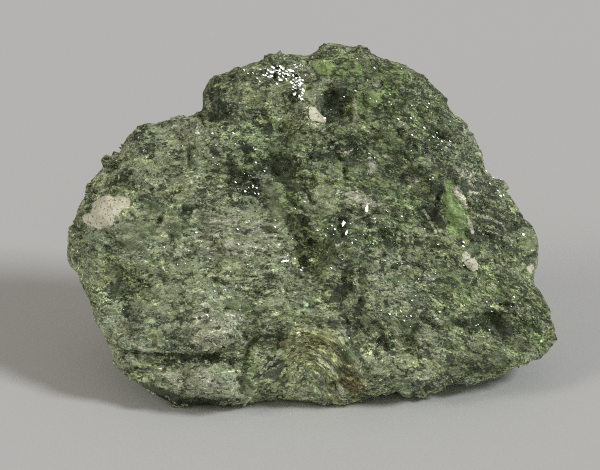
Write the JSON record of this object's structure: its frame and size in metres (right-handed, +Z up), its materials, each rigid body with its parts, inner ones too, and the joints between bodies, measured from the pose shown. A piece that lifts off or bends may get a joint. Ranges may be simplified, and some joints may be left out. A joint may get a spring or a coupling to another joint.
{
  "type": "granular diopside rock specimen",
  "caption": "Palm-sized broken lump of green granular diopside rock, standing on a flat break with its broad sugary face leaning back.",
  "frame": {"origin": "on the ground, under the middle of the specimen's bounding box", "axes": "+X along the broad face to the viewer's right, +Y into the stone away from the broad face, +Z up"},
  "size_m": [0.066, 0.0348, 0.0423],
  "materials": {
    "granular_diopside": "rough sugary break of fine green and grey-green grains with glassy cleavage glints"
  },
  "bodies": {
    "root": {"diopside_rock": "granular_diopside"}
  },
  "joints": []
}
